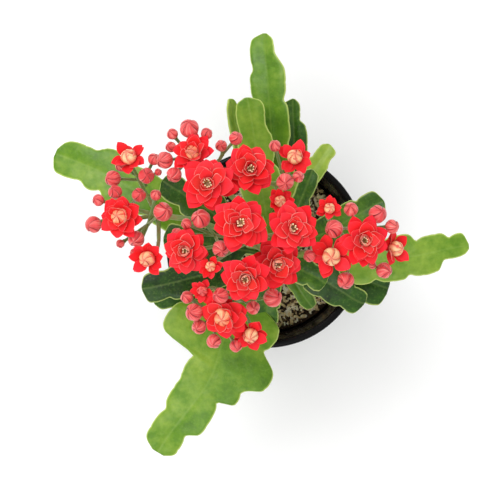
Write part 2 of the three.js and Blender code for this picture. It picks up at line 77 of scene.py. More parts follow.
def softened(values, width):
    """A row of values, or of rows, blurred along its length by a Gaussian of so many steps."""
    reach = int(3 * width) + 1
    kernel = np.exp(-0.5 * (np.arange(-reach, reach + 1) / width) ** 2)
    kernel /= kernel.sum()
    padded = np.concatenate([np.repeat(values[:1], reach, 0), values, np.repeat(values[-1:], reach, 0)])
    columns = padded.reshape(len(padded), -1)
    blurred = [np.convolve(column, kernel, "valid") for column in columns.T]
    return np.stack(blurred, 1).reshape(values.shape)


def upright_frame(axis):
    """Two directions that make a right-handed set with an axis."""
    side = np.cross(axis, (0.0, 1.0, 0.0))
    if np.linalg.norm(side) < 0.2:
        side = np.cross(axis, (1.0, 0.0, 0.0))
    side = unit(side)
    return side, np.cross(axis, side)


def circle(side, up, sides):
    """Corners of a round outline of radius 1 in the plane of two directions."""
    angles = np.arange(sides) * TAU / sides
    return np.outer(np.cos(angles), side) + np.outer(np.sin(angles), up)


def bezier(start, middle, end, count):
    t = np.linspace(0, 1, count)[:, None]
    return (1 - t) ** 2 * start + 2 * t * (1 - t) * middle + t ** 2 * end


# ---------------------------------------------------------------- reading the frame
def merged(name):
    """A node's corners, edges and faces, with the corners that faces share joined."""
    mesh = bmesh.new()
    mesh.from_mesh(NODES[name].data)
    bmesh.ops.remove_doubles(mesh, verts=mesh.verts, dist=1e-5)
    mesh.verts.index_update()
    points = np.array([v.co[:] for v in mesh.verts])
    edges = np.array([[v.index for v in e.verts] for e in mesh.edges])
    faces = [[v.index for v in f.verts] for f in mesh.faces]
    mesh.free()
    return points, edges, faces


def lowest_end(points, reach):
    """Middle of the corners that lie near the lowest one."""
    lowest = points[points[:, 2].argmin()]
    return points[np.linalg.norm(points - lowest, axis=1) < reach].mean(0)


def tree_of(points, faces):
    return BVHTree.FromPolygons([tuple(p) for p in points], faces)


def nodes_named(start):
    return sorted(name for name in NODES if name.startswith(start))


# ---------------------------------------------------------------- making meshes
class Piece:
    """Closed skins gathered into one object. Each corner carries three marks and a shade for its material."""

    def __init__(self):
        self.points = []
        self.marks = []
        self.shades = []
        self.faces = []
        self.kinds = []
        self.count = 0

    def loft(self, rings, marks=None, shade=0.5, kinds=None):
        """A skin over rings of points, closed at both ends. kinds is each column's material."""
        rings = np.asarray(rings, float)
        rows, columns = rings.shape[:2]
        marks = np.zeros((rows, columns, 3)) if marks is None else np.asarray(marks, float)
        kinds = [0] * columns if kinds is None else list(kinds)
        base = self.count
        ends = [rings[0].mean(0), rings[-1].mean(0)]
        self.points.append(np.concatenate([rings.reshape(-1, 3), ends]))
        self.marks.append(np.concatenate([marks.reshape(-1, 3), [marks[0].mean(0), marks[-1].mean(0)]]))
        self.shades.append(np.full(rows * columns + 2, shade))
        first, last = base + rows * columns, base + rows * columns + 1
        for j in range(columns):
            k = (j + 1) % columns
            for i in range(rows - 1):
                low, high = base + i * columns, base + (i + 1) * columns
                self.faces.append((low + j, low + k, high + k, high + j))
                self.kinds.append(kinds[j])
            end = base + (rows - 1) * columns
            self.faces.append((first, base + k, base + j))
            self.faces.append((last, end + j, end + k))
            self.kinds += [kinds[j], kinds[j]]
        self.count += rows * columns + 2

    def tube(self, path, radii, sides, kind):
        """A round stem along points."""
        path = np.asarray(path, float)
        radii = np.broadcast_to(radii, len(path))
        tangents = np.gradient(path, axis=0)
        side = upright_frame(unit(tangents[0]))[0]
        rings = []
        for point, tangent, radius in zip(path, tangents, radii):
            ahead = unit(tangent)
            side = unit(side - ahead * side.dot(ahead))
            up = np.cross(ahead, side)
            rings.append(point + radius * circle(side, up, sides))
        marks = np.zeros((len(path), sides, 3))
        marks[:, :, 0] = np.linspace(0, 1, len(path))[:, None]
        self.loft(rings, marks, 0.5, [kind] * sides)

    def solid(self, points, faces, shade, kind):
        """A closed skin that is already made."""
        self.points.append(points)
        self.marks.append(np.zeros((len(points), 3)))
        self.shades.append(np.full(len(points), shade))
        self.faces += [tuple(self.count + i for i in face) for face in faces]
        self.kinds += [kind] * len(faces)
        self.count += len(points)

    def make(self, name, materials):
        mesh = bpy.data.meshes.new(name)
        mesh.from_pydata(np.concatenate(self.points).tolist(), [], self.faces)
        mesh.polygons.foreach_set("use_smooth", [True] * len(self.faces))
        mesh.polygons.foreach_set("material_index", self.kinds)
        for material in materials:
            mesh.materials.append(material)
        marks = mesh.attributes.new("marks", "FLOAT_VECTOR", "POINT")
        marks.data.foreach_set("vector", np.concatenate(self.marks).astype(np.float32).ravel())
        shade = mesh.attributes.new("shade", "FLOAT", "POINT")
        shade.data.foreach_set("value", np.concatenate(self.shades).astype(np.float32))
        outward(mesh)
        piece = bpy.data.objects.new(name, mesh)
        bpy.context.scene.collection.objects.link(piece)
        return piece


def outward(mesh):
    """Turns every face of a mesh's closed skins outwards."""
    shell = bmesh.new()
    shell.from_mesh(mesh)
    bmesh.ops.recalc_face_normals(shell, faces=shell.faces)
    shell.to_mesh(mesh)
    shell.free()


def settle(piece, node):
    """The piece stands for a node of the frame, and rides where that node does."""
    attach(piece, "root")
    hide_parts(node)


def baked(piece):
    """Applies a piece's modifiers to its mesh."""
    bpy.context.view_layer.update()
    evaluated = piece.evaluated_get(bpy.context.evaluated_depsgraph_get())
    mesh = bpy.data.meshes.new_from_object(evaluated)
    piece.modifiers.clear()
    piece.data = mesh
    return piece


# ---------------------------------------------------------------- materials
def colour(code):
    """Linear colour from a written #rrggbb."""
    parts = [int(code[i:i + 2], 16) / 255 for i in (1, 3, 5)]
    linear = [c / 12.92 if c <= 0.04045 else ((c + 0.055) / 1.055) ** 2.4 for c in parts]
    return (*linear, 1.0)


class Finish:
    """A material and the few kinds of node that it is built from."""

    def __init__(self, name, **settings):
        self.material = bpy.data.materials.new(name)
        self.material.use_nodes = True
        self.nodes = self.material.node_tree.nodes
        self.links = self.material.node_tree.links
        self.shader = self.nodes["Principled BSDF"]
        for socket, value in settings.items():
            self.shader.inputs[socket.replace("_", " ")].default_value = value

    def node(self, kind, inputs=None, **properties):
        made = self.nodes.new(kind)
        for key, value in properties.items():
            setattr(made, key, value)
        for key, value in (inputs or {}).items():
            self.feed(made.inputs[key], value)
        return made

    def feed(self, socket, value):
        if isinstance(value, bpy.types.NodeSocket):
            self.links.new(value, socket)
        else:
            socket.default_value = value

    def place(self):
        return self.node("ShaderNodeTexCoord").outputs["Object"]

    def stretched(self, scale):
        return self.node("ShaderNodeMapping", {"Vector": self.place(), "Scale": scale}).outputs[0]

    def noise(self, scale, detail=3.0, roughness=0.55, where=None):
        inputs = {"Vector": where or self.place(), "Scale": scale, "Detail": detail, "Roughness": roughness}
        return self.node("ShaderNodeTexNoise", inputs).outputs["Fac"]

    def marks(self):
        named = self.node("ShaderNodeAttribute", attribute_name="marks")
        return self.node("ShaderNodeSeparateXYZ", {0: named.outputs["Vector"]}).outputs

    def shade(self):
        return self.node("ShaderNodeAttribute", attribute_name="shade").outputs["Fac"]

    def calc(self, operation, first, second=0.0):
        return self.node("ShaderNodeMath", {0: first, 1: second}, operation=operation).outputs[0]

    def spread(self, value, low, high, to_low=0.0, to_high=1.0):
        inputs = {0: value, 1: low, 2: high, 3: to_low, 4: to_high}
        return self.node("ShaderNodeMapRange", inputs, interpolation_type="SMOOTHSTEP").outputs[0]

    def mix(self, share, first, second):
        return self.node("ShaderNodeMix", {0: share, 6: first, 7: second}, data_type="RGBA").outputs[2]

    def scaled(self, values, scales):
        """A place for noise made from three values, each stretched by its scale."""
        parts = [self.calc("MULTIPLY", value, scale) for value, scale in zip(values, scales)]
        return self.node("ShaderNodeCombineXYZ", dict(enumerate(parts))).outputs[0]

    def ramp(self, share, stops):
        made = self.node("ShaderNodeValToRGB", {0: share})
        elements = made.color_ramp.elements
        while len(elements) < len(stops):
            elements.new(0.5)
        for element, (position, code) in zip(elements, stops):
            element.position = position
            element.color = colour(code)
        return made.outputs[0]

    def bump(self, height, strength, distance, below=None):
        inputs = {"Height": height, "Strength": strength, "Distance": distance}
        if below is not None:
            inputs["Normal"] = below
        return self.node("ShaderNodeBump", inputs).outputs[0]

    def done(self, base=None, roughness=None, normal=None):
        if base is not None:
            self.feed(self.shader.inputs["Base Color"], base)
        if roughness is not None:
            self.feed(self.shader.inputs["Roughness"], roughness)
        if normal is not None:
            self.feed(self.shader.inputs["Normal"], normal)
        return self.material


def leaf_top():
    """Waxy green, darker or brighter with the leaf's shade value, which holds painted light and shade as well
    as the leaf's own tone; mottled, with a pale rim and a faint midrib.
    """
    finish = Finish("leaf_top", Coat_Weight=0.12, Coat_Roughness=0.25, Specular_IOR_Level=0.25,
                    Subsurface_Weight=0.06, Subsurface_Radius=(0.3, 0.8, 0.1), Subsurface_Scale=1.2 * MM)
    _, rim, rib = finish.marks()
    clouds = finish.calc("MULTIPLY", finish.calc("SUBTRACT", finish.noise(75, 4.0), 0.5), 0.8)
    spots = finish.calc("MULTIPLY", finish.calc("SUBTRACT", finish.noise(380, 3.0), 0.5), 0.3)
    # The shade value brings in painted light and shade along with the leaf's own green.
    tone = finish.calc("ADD", finish.calc("ADD", finish.shade(), clouds), spots)
    base = finish.ramp(tone, [(0.0, "#0f2a05"), (0.3, "#2b5509"), (0.62, "#5b8517"), (1.0, "#97b13f")])
    speckle = finish.spread(finish.noise(900, 2.0), 0.5, 0.75, 0.0, 0.2)
    base = finish.mix(speckle, base, colour("#7a9f42"))
    base = finish.mix(finish.spread(rib, 0.0, 0.8, 0.16, 0.0), base, colour("#97b258"))
    base = finish.mix(finish.spread(rim, 0.15, 0.8, 0.72, 0.0), base, colour("#c2d272"))
    patchy = finish.spread(finish.noise(220, 3.0), 0.35, 0.7, 0.34, 0.52)
    grain = finish.bump(finish.noise(1500, 2.0), 0.3, 0.15 * MM)
    waves = finish.bump(finish.noise(130, 4.0), 0.6, 1.2 * MM, grain)
    return finish.done(base, patchy, waves)


def leaf_under():
    """The paler, duller face of a leaf."""
    finish = Finish("leaf_under", Specular_IOR_Level=0.3, Subsurface_Weight=0.06,
                    Subsurface_Radius=(0.3, 0.8, 0.1), Subsurface_Scale=1.2 * MM)
    _, rim, rib = finish.marks()
    # The underside follows the same shade value, with its painted light and shade.
    tone = finish.calc("ADD", finish.calc("MULTIPLY", finish.shade(), 0.7), finish.noise(70, 3.0))
    base = finish.ramp(tone, [(0.35, "#3d6a22"), (0.8, "#6c923d"), (1.0, "#8cab52")])
    base = finish.mix(finish.spread(rib, 0.2, 1.6, 0.35, 0.0), base, colour("#b0c674"))
    base = finish.mix(finish.spread(rim, 0.1, 0.6, 0.6, 0.0), base, colour("#bccd62"))
    grain = finish.bump(finish.noise(1400, 2.0), 0.3, 0.15 * MM)
    return finish.done(base, 0.5, grain)


def petal_skin():
    """Satin red, deeper at the foot, with fine lengthwise streaks and a painted highlight along the edge,
    strongest on the inner petals. The third mark turns it cream, as on the backs of the curled inner petals."""
    finish = Finish("petal", Subsurface_Weight=0.1, Subsurface_Radius=(1.0, 0.2, 0.15),
                    Subsurface_Scale=0.7 * MM, Specular_IOR_Level=0.12, Roughness=0.45)
    along, across, cream = finish.marks()
    shade = finish.shade()
    red = finish.ramp(along, [(0.0, "#7a050a"), (0.3, "#cc0d18"), (0.7, "#ee1521"), (1.0, "#f22433")])
    red = finish.mix(finish.spread(shade, 0.2, 0.95, 0.0, 0.4), red, colour("#f63649"))
    streak = finish.noise(2.2, 3.0, where=finish.scaled((across, along, shade), (9.0, 1.3, 40.0)))
    red = finish.mix(finish.spread(streak, 0.45, 0.8, 0.0, 0.35), red, colour("#c4141c"))
    pale = finish.ramp(along, [(0.0, "#e2ad72"), (0.5, "#f7dcae"), (0.85, "#f5c9a4"), (1.0, "#ee8f82")])
    pale = finish.mix(finish.spread(streak, 0.5, 0.8, 0.0, 0.45), pale, colour("#e8787a"))
    base = finish.mix(cream, red, pale)
    # Painted highlight: a pale line along each petal's margin, strongest on the creamy inner petals.
    painted_highlight_margin = finish.spread(across, 0.86, 1.0)
    edge = finish.calc("MULTIPLY", painted_highlight_margin, finish.spread(cream, 0.005, 0.05, 0.05, 0.8))
    base = finish.mix(edge, base, colour("#ffc9bd"))
    ribs = finish.bump(streak, 0.5, 0.14 * MM)
    return finish.done(base, None, ribs)


def wrapped_skin(name, tube, low, high, streaks, seam_shade):
    """Skin of petals that are still wrapped over each other: streaked along each petal, with painted shade
    darkening the lines where one petal overlaps the next.
    """
    finish = Finish(name, Subsurface_Weight=0.1, Subsurface_Radius=(1.0, 0.3, 0.25),
                    Subsurface_Scale=0.8 * MM, Roughness=0.36, Specular_IOR_Level=0.4)
    height, seam, turn = finish.marks()
    base = finish.ramp(height, [(0.0, tube), (0.2, low), (0.7, high), (1.0, low)])
    streak = finish.noise(1.5, 4.0, where=finish.scaled((turn, height, finish.shade()), (7.0, 1.2, 30.0)))
    base = finish.mix(finish.spread(streak, 0.42, 0.7, 0.0, 0.6), base, colour(streaks))
    fold = finish.spread(turn, 0.0, 0.5, 0.85, 0.0)
    base = finish.mix(fold, base, colour(low))
    # Painted shade: the lines where one wrapped petal overlaps the next are darkened towards the seam colour.
    base = finish.mix(finish.spread(seam, 0.3, 0.9, 0.0, 0.92), base, colour(seam_shade))
    grain = finish.bump(streak, 0.4, 0.14 * MM)
    return finish.done(base, None, grain)


def stem_skin():
    """Green stem with a brown-red flush, in long streaks."""
    finish = Finish("stem", Subsurface_Weight=0.05, Subsurface_Scale=0.8 * MM, Roughness=0.45,
                    Coat_Weight=0.1, Coat_Roughness=0.35)
    flush = finish.noise(140, 3.0, where=finish.stretched((1.0, 1.0, 0.35)))
    base = finish.ramp(flush, [(0.3, "#5f8436"), (0.5, "#7f9147"), (0.72, "#94744a")])
    base = finish.mix(finish.spread(finish.noise(1100, 2.0), 0.55, 0.8, 0.0, 0.35), base, colour("#a9b56a"))
    grain = finish.bump(finish.noise(1300, 2.0), 0.3, 0.12 * MM)
    return finish.done(base, None, grain)


def woody_skin():
    """The older main stem: green going to corky tan near the soil."""
    finish = Finish("main_stem", Roughness=0.62)
    height = finish.node("ShaderNodeSeparateXYZ", {0: finish.place()}).outputs[2]
    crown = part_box("main_stem")
    cork = finish.noise(320, 4.0, where=finish.stretched((1.0, 1.0, 0.3)))
    low = finish.spread(height, crown[0].z, crown[1].z, 0.35, -0.25)
    base = finish.ramp(finish.calc("ADD", cork, low),
                       [(0.3, "#5d7a34"), (0.55, "#86854a"), (0.8, "#9a7d55"), (0.95, "#6e563c")])
    return finish.done(base, None, finish.bump(cork, 0.5, 0.4 * MM))


def calyx_skin():
    finish = Finish("calyx", Subsurface_Weight=0.05, Subsurface_Scale=0.8 * MM, Roughness=0.45,
                    Coat_Weight=0.1, Coat_Roughness=0.35)
    along = finish.marks()[0]
    base = finish.ramp(along, [(0.0, "#6f8f3c"), (0.6, "#7d8c42"), (1.0, "#a0604a")])
    base = finish.mix(finish.spread(finish.noise(700, 3.0), 0.45, 0.75, 0.0, 0.4), base, colour("#94ab57"))
    return finish.done(base, None, finish.bump(finish.noise(1500, 2.0), 0.3, 0.1 * MM))


def stamen_skin():
    finish = Finish("stamen", Roughness=0.5, Subsurface_Weight=0.1, Subsurface_Scale=0.5 * MM)
    along = finish.marks()[0]
    base = finish.ramp(along, [(0.0, "#8fa04a"), (0.55, "#d9cf86"), (1.0, "#fbecc4")])
    return finish.done(base, None, finish.bump(finish.noise(3000, 1.0), 0.4, 0.1 * MM))


def pot_skin():
    """Black moulded plastic with fine flow marks and a little dust."""
    finish = Finish("pot_plastic", Specular_IOR_Level=0.1, Coat_Weight=0.05, Coat_Roughness=0.1)
    flow = finish.noise(60, 3.0, where=finish.stretched((1.0, 1.0, 4.0)))
    dust = finish.spread(finish.noise(420, 5.0, 0.7), 0.6, 0.85, 0.0, 0.12)
    base = finish.mix(dust, colour("#040404"), colour("#2b2825"))
    rough = finish.calc("ADD", finish.spread(flow, 0.3, 0.75, 0.22, 0.34), dust)
    fine = finish.bump(finish.noise(1600, 2.0), 0.25, 0.05 * MM)
    return finish.done(base, rough, finish.bump(flow, 0.12, 0.15 * MM, fine))


def earth(name, stops, roughness, scale):
    """Soil matter: a ramp of browns over noise, with a coarse bump. The shade sets each crumb apart."""
    finish = Finish(name, Roughness=roughness, Specular_IOR_Level=0.25)
    mottle = finish.calc("MULTIPLY", finish.noise(scale, 5.0, 0.65), 0.6)
    tone = finish.calc("ADD", mottle, finish.calc("MULTIPLY", finish.shade(), 0.4))
    return finish.done(finish.ramp(tone, stops), None,
                       finish.bump(finish.noise(2 * scale, 4.0, 0.7), 0.8, 0.35 * MM))


LEAF_TOP = leaf_top()
LEAF_UNDER = leaf_under()
PETAL = petal_skin()
# The last colour of each wrapped skin is painted shade for the lines where its petals overlap.
BUD = wrapped_skin("bud", "#9c8a45", "#c62d33", "#e0484b", "#f8a99c", "#74101a")
HEART = wrapped_skin("heart", "#c9a25a", "#e2574b", "#f3c38c", "#fae8bb", "#a81a20")
STEM = stem_skin()
WOOD = woody_skin()
CALYX = calyx_skin()
STAMEN = stamen_skin()
POT = pot_skin()
PEAT = earth("peat", [(0.2, "#140e09"), (0.45, "#38291c"), (0.7, "#7d6446")], 0.95, 700)
BARK = earth("bark", [(0.2, "#a8895f"), (0.45, "#e2c797"), (0.75, "#fbf0d2")], 0.85, 500)
PERLITE = earth("perlite", [(0.2, "#cdbd9c"), (0.45, "#efe2c4"), (0.7, "#fdf6e4")], 0.9, 900)


# Places of the materials in the lists that leaves, flowers, sprays and the soil are made with.
TOP_SLOT, UNDER_SLOT = range(2)
PETAL_SLOT, CALYX_SLOT, STAMEN_SLOT, HEART_SLOT, BUD_SLOT = range(5)
SPRAY_BUD, SPRAY_CALYX, SPRAY_STEM = range(3)
PEAT_SLOT, BARK_SLOT, PERLITE_SLOT = range(3)


# ---------------------------------------------------------------- leaves
LEAF_ROWS = 110
LEAF_COLUMNS = 27

# How bright each leaf's green is, from 0, dark, to 1, pale. The values are partly each leaf's own green and
# partly painted light and shade: leaves that lie under the flowers are made dark, leaves in the open pale.
LEAF_TONE_AND_PAINTED_SHADE = {
    "leaf_front_left": 0.66, "leaf_far_left": 0.66, "leaf_back_long": 0.6, "leaf_back_right": 0.3,
    "leaf_back_front": 0.72, "leaf_back_edge_on": 0.8, "leaf_back_pale": 0.9, "leaf_upper_oval": 0.3,
    "leaf_right_back": 0.36, "leaf_right_long": 0.74, "leaf_front_right": 0.22,
    "leaf_front_right_round": 0.26, "leaf_upper_small": 0.36, "leaf_front_narrow": 0.4,
    "leaf_front_small": 0.34, "leaf_left_dish": 0.1, "leaf_left_under": 0.4, "leaf_left_serrated": 0.2,
    "leaf_left_crenate": 0.16,
}


def leaf_axes(points, faces):
    """Base, direction along, direction out of the blade and length of a leaf node."""
    low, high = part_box("main_stem")
    crown = np.array([(low.x + high.x) / 2, (low.y + high.y) / 2])
    gaps = np.linalg.norm(points[:, :2] - crown, axis=1)
    base = points[gaps < gaps.min() + 2.5 * MM].mean(0)
    reach = np.linalg.norm(points - base, axis=1)
    tip = points[reach > 0.97 * reach.max()].mean(0)
    along = unit(tip - base)
    corners = points[np.array([face[:3] for face in faces])]
    facing = np.cross(corners[:, 1] - corners[:, 0], corners[:, 2] - corners[:, 0])
    sizes = np.maximum(np.linalg.norm(facing, axis=1), 1e-12)
    vectors = np.linalg.eigh((facing / sizes[:, None]).T @ facing)[1]
    normal = vectors[:, 2] - along * vectors[:, 2].dot(along)
    if normal[2] < 0:
        normal = -normal
    return base, along, unit(normal), ((points - base) @ along).max()


def leaf_sections(points, edges, base, along, side, stations):
    """The left and right edge of a leaf where planes across it cut it."""
    reach = (points - base) @ along
    first, second = reach[edges[:, 0]], reach[edges[:, 1]]
    lefts, rights = [], []
    for station in stations:
        crossed = (first - station) * (second - station) < 0
        share = (station - first[crossed]) / (second - first)[crossed]
        ends = points[edges[crossed]]
        cuts = (ends[:, 0] + share[:, None] * (ends[:, 1] - ends[:, 0]) - base) @ side
        lefts.append(cuts.max() if len(cuts) else np.nan)
        rights.append(cuts.min() if len(cuts) else np.nan)
    return filled(np.array(lefts)), filled(np.array(rights))


def filled(values):
    """Gaps in a row of values, bridged from their neighbours."""
    known = ~np.isnan(values)
    places = np.arange(len(values))
    return np.interp(places, places[known], values[known])


def leaf_heights(tree, base, along, side, normal, stations, lefts, rights):
    """Height of a blade's middle surface, and its half thickness, on a grid of stations and shares across."""
    shares = np.linspace(0.06, 0.94, 13)
    middle = np.full((len(stations), len(shares)), np.nan)
    half = np.full((len(stations), len(shares)), np.nan)
    far = 0.2
    for i, station in enumerate(stations):
        for j, share in enumerate(shares):
            out = rights[i] + share * (lefts[i] - rights[i])
            point = base + station * along + out * side
            above = tree.ray_cast(Vector(point + far * normal), Vector(-normal))
            below = tree.ray_cast(Vector(point - far * normal), Vector(normal))
            if above[0] is not None and below[0] is not None:
                top = far - above[3]
                bottom = below[3] - far
                middle[i, j] = (top + bottom) / 2
                half[i, j] = (top - bottom) / 2
    middle = np.stack([filled(column) for column in middle.T], 1)
    half = np.stack([filled(column) for column in half.T], 1)
    return shares, middle, half


def scallops(reach, chance, size):
    """Small rounded teeth along a margin, with uneven spacing."""
    places = [0.0]
    while places[-1] < reach[-1]:
        places.append(places[-1] + chance.uniform(0.8, 1.25) * size)
    index = np.searchsorted(places, reach, "right") - 1
    marks = np.array(places + [places[-1] + size])
    through = (reach - marks[index]) / (marks[index + 1] - marks[index])
    return np.sqrt(np.clip(1 - (2 * through - 1) ** 4, 0, 1)) - 0.75


def leaf(name):
    """A fleshy scalloped blade along its node, grooved on the midrib and gently wavy."""
    chance = random.Random(name)
    points, edges, faces = merged(name)
    base, along, normal, length = leaf_axes(points, faces)
    side = np.cross(normal, along)
    shares_along = np.linspace(0.004, 1, LEAF_ROWS)
    stations = shares_along * length * 0.998
    lefts, rights = leaf_sections(points, edges, base, along, side, stations)
    tree = tree_of(points, faces)
    shares, middle, half = leaf_heights(tree, base, along, side, normal, stations, lefts, rights)
    middle = softened(middle, 4.0)
    middle = softened(middle.T, 1.0).T
    thickness = softened(half[:, 4:9].max(1), 4.0)
    lefts, rights = softened(lefts, 0.8), softened(rights, 0.8)
    rib = softened((lefts + rights) / 2, 9.0)
    blade = smoothstep(0.3, 0.5, shares_along)
    fade = blade * (1 - smoothstep(0.97, 1, shares_along))
    tooth = min(0.085 * length, 9 * MM)
    depth = 0.045 * tooth
    lefts = lefts + fade * depth * scallops(stations, chance, tooth)
    rights = rights - fade * depth * scallops(stations, chance, tooth)
    close = np.sqrt(np.clip(1 - smoothstep(0.955, 1.03, shares_along) ** 2, 0, 1))
    turn = np.linspace(-math.pi / 2, math.pi / 2, LEAF_COLUMNS)
    across = np.sin(turn)
    phases = [chance.uniform(0, TAU) for _ in range(3)]
    rings, marks = [], []
    for i, station in enumerate(stations):
        left = (lefts[i] - rib[i]) * close[i]
        right = (rib[i] - rights[i]) * close[i]
        out = np.where(across > 0, left, right) * across
        spot = np.clip((rib[i] + out - rights[i]) / max(lefts[i] - rights[i], 1e-6), 0, 1)
        height = np.interp(spot, shares, middle[i])
        sideways = math.sin(station / (9 * MM) + phases[0]) * across
        wave = sideways + 0.7 * math.sin(station / (6 * MM) + phases[1])
        edge_wave = np.sin(station / (5 * MM) + phases[2] + across) * across ** 2
        height = height + blade[i] * (0.35 * MM * wave + 0.45 * MM * edge_wave)
        body = np.sqrt(np.clip(1 - np.abs(across) ** 3.2, 0, 1))
        thick = np.maximum(thickness[i] * close[i] * body, 0)
        groove = 0.35 * MM * blade[i] * close[i] * np.exp(-(out / (1.1 * MM)) ** 2)
        vein = np.sin((station - 0.9 * np.abs(out)) / (2.1 * MM)) * np.abs(across) * (1 - across ** 2)
        ripple = 0.1 * MM * blade[i] * close[i] * vein
        middle_line = base + station * along + np.outer(rib[i] + out, side)
        top = middle_line + np.outer(height + thick - groove + ripple, normal)
        under = middle_line + np.outer(height - thick - 1.6 * groove, normal)
        ring = np.concatenate([top, under[-2:0:-1]])
        rim = np.where(across > 0, left, right) * (1 - np.abs(across)) / MM
        mark = np.stack([np.full_like(out, shares_along[i]), rim, np.abs(out) / MM], 1)
        rings.append(ring)
        marks.append(np.concatenate([mark, mark[-2:0:-1]]))
    columns = 2 * LEAF_COLUMNS - 2
    kinds = [TOP_SLOT if j < LEAF_COLUMNS - 1 else UNDER_SLOT for j in range(columns)]
    piece = Piece()
    # The leaf's tone value carries painted light and shade as well as its own green.
    piece.loft(rings, marks, LEAF_TONE_AND_PAINTED_SHADE[name], kinds)
    settle(piece.make(name + "_blade", [LEAF_TOP, LEAF_UNDER]), name)


# ---------------------------------------------------------------- petals
PETAL_ROWS = 12
PETAL_COLUMNS = 9
PETAL_THICKNESS = 0.34 * MM


def petal(piece, centre, axes, turn, start, length, half_width, rise, curl, chance,
          cup=0.25, cream=(0.0, 0.0), kind=0, tip=0.85):
    """One petal: from a start radius it leaves the axis at a slope of rise degrees and bends by curl degrees,
    widens, and ends in a point. cream is how pale its face and its back are."""
    side, up, axis = axes
    share = np.linspace(0, 1, PETAL_ROWS)
    slopes = np.radians(rise + curl * share + chance.uniform(-4, 4))
    step = length / (PETAL_ROWS - 1)
    out = start + np.concatenate([[0], np.cumsum(np.cos(slopes[:-1]) * step)])
    height = np.concatenate([[0], np.cumsum(np.sin(slopes[:-1]) * step)])
    widths = half_width * (0.4 + 0.6 * smoothstep(0.0, 0.6, share))
    widths = widths * np.clip(1 - np.clip((share - 0.5) / 0.5, 0, 1) ** 2.1, 0.02, 1) ** tip
    across = np.sin(np.linspace(-math.pi / 2, math.pi / 2, PETAL_COLUMNS))
    sway = chance.uniform(-0.22, 0.22)
    tilt = chance.uniform(-0.2, 0.2)
    phase = chance.uniform(0, TAU)
    ripple = chance.uniform(0.05, 0.2)
    rings, marks = [], []
    for i in range(PETAL_ROWS):
        angle = turn + sway * share[i] ** 2
        radial = math.cos(angle) * side + math.sin(angle) * up
        level = -math.sin(angle) * side + math.cos(angle) * up
        normal = math.cos(slopes[i]) * axis - math.sin(slopes[i]) * radial
        sheet = centre + out[i] * radial + height[i] * axis
        wave = ripple * math.sin(phase + 5.0 * share[i]) * np.sign(across) * across ** 2
        fold = cup * across ** 2 + tilt * across + wave
        surface = sheet + widths[i] * (np.outer(across, level) + np.outer(fold, normal))
        body = 0.5 * PETAL_THICKNESS * (0.35 + 0.65 * np.sqrt(1 - across ** 2)) * (1 - 0.5 * share[i])
        body[0] = body[-1] = 0
        top = surface + np.outer(body, normal)
        under = surface - np.outer(body, normal)
        rings.append(np.concatenate([top, under[-2:0:-1]]))
        same = np.ones(PETAL_COLUMNS)
        face = np.stack([share[i] * same, np.abs(across), cream[0] * same], 1)
        back = face[-2:0:-1].copy()
        back[:, 2] = cream[1]
        marks.append(np.concatenate([face, back]))
    piece.loft(rings, marks, chance.random(), [kind] * (2 * PETAL_COLUMNS - 2))


# Whorls of an open flower from the outside in: petals, reach as a share of the flower's radius, slope at
# the foot and bend to the tip in degrees, half width as a share of the radius, and cupping.
OPEN_WHORLS = [
    (7, 1.06, 4, -12, 0.34, 0.1),
    (6, 0.94, 18, -10, 0.33, 0.16),
    (5, 0.74, 34, -6, 0.31, 0.26),
    (4, 0.52, 52, 6, 0.28, 0.36),
]
# What an open flower's middle shows: a dark hollow with stamens, loosely curled petals, or a closed ball.
FLOWER_MIDDLES = {
    "flower_left": "ball", "flower_back_left": "hollow", "flower_back_left_folded": "ball",
    "flower_back": "hollow", "flower_centre": "hollow", "flower_centre_right": "hollow",
    "flower_front_right": "curled", "flower_front": "curled", "flower_front_low": "ball",
    "flower_left_inner": "curled", "flower_right": "curled",
}
# How cream the closed middle of each half-open flower is.
HALF_OPEN_CREAM = {
    "half_open_far_left": 0.75, "half_open_left": 0.9, "half_open_back": 0.9, "half_open_centre": 0.7,
    "half_open_left_inner": 0.7, "half_open_front_left": 0.25, "half_open_front": 0.85,
    "half_open_right_back": 0.5, "half_open_right": 0.9, "half_open_far_right": 0.6,
}


def flower_axes(name):
    """Foot, axis, radius and openness of a flower node."""
    points, _, faces = merged(name)
    foot = lowest_end(points, 2.4 * MM)
    corners = points[[face[:3] for face in faces]]
    across = np.cross(corners[:, 1] - foot, corners[:, 2] - foot)
    volumes = np.einsum("ij,ij->i", corners[:, 0] - foot, across)
    centroid = foot + (volumes[:, None] * (corners - foot).sum(1) / 4).sum(0) / volumes.sum()
    axis = unit(centroid - foot)
    offsets = points - foot
    heights = offsets @ axis
    radii = np.linalg.norm(offsets - np.outer(heights, axis), axis=1)
    radius = radii.max()
    lift = heights[radii > 0.93 * radius].mean() / radius - FLOWER_FOOT
    openness = np.clip((0.9 - lift) / 0.88, 0, 1)
    return foot, axis, radius, openness


def calyx(piece, foot, axes, radius, chance):
    """Four pointed green sepals."""
    offset = chance.uniform(0, TAU)
    for i in range(4):
        petal(piece, foot, axes, offset + i * TAU / 4, 0.5 * MM, 0.62 * radius, 0.13 * radius,
              62, 12, chance, cup=0.35, kind=CALYX_SLOT, tip=1.0)


TUBE_SIDES = 16


def flower_tube(piece, foot, axes, radius):
    """The tube between the calyx and the petals."""
    side, up, axis = axes
    outline = [(0.0, 0.075), (0.06, 0.13), (0.22, 0.24), (0.42, 0.25), (0.62, 0.2), (0.76, 0.2), (0.84, 0.12)]
    ring = circle(side, up, TUBE_SIDES)
    rings = [foot + height * radius * axis + share * radius * ring for height, share in outline]
    marks = np.zeros((len(outline), TUBE_SIDES, 3))
    marks[:, :, 0] = np.linspace(0, 0.9, len(outline))[:, None]
    piece.loft(rings, marks, 0.5, [CALYX_SLOT] * TUBE_SIDES)


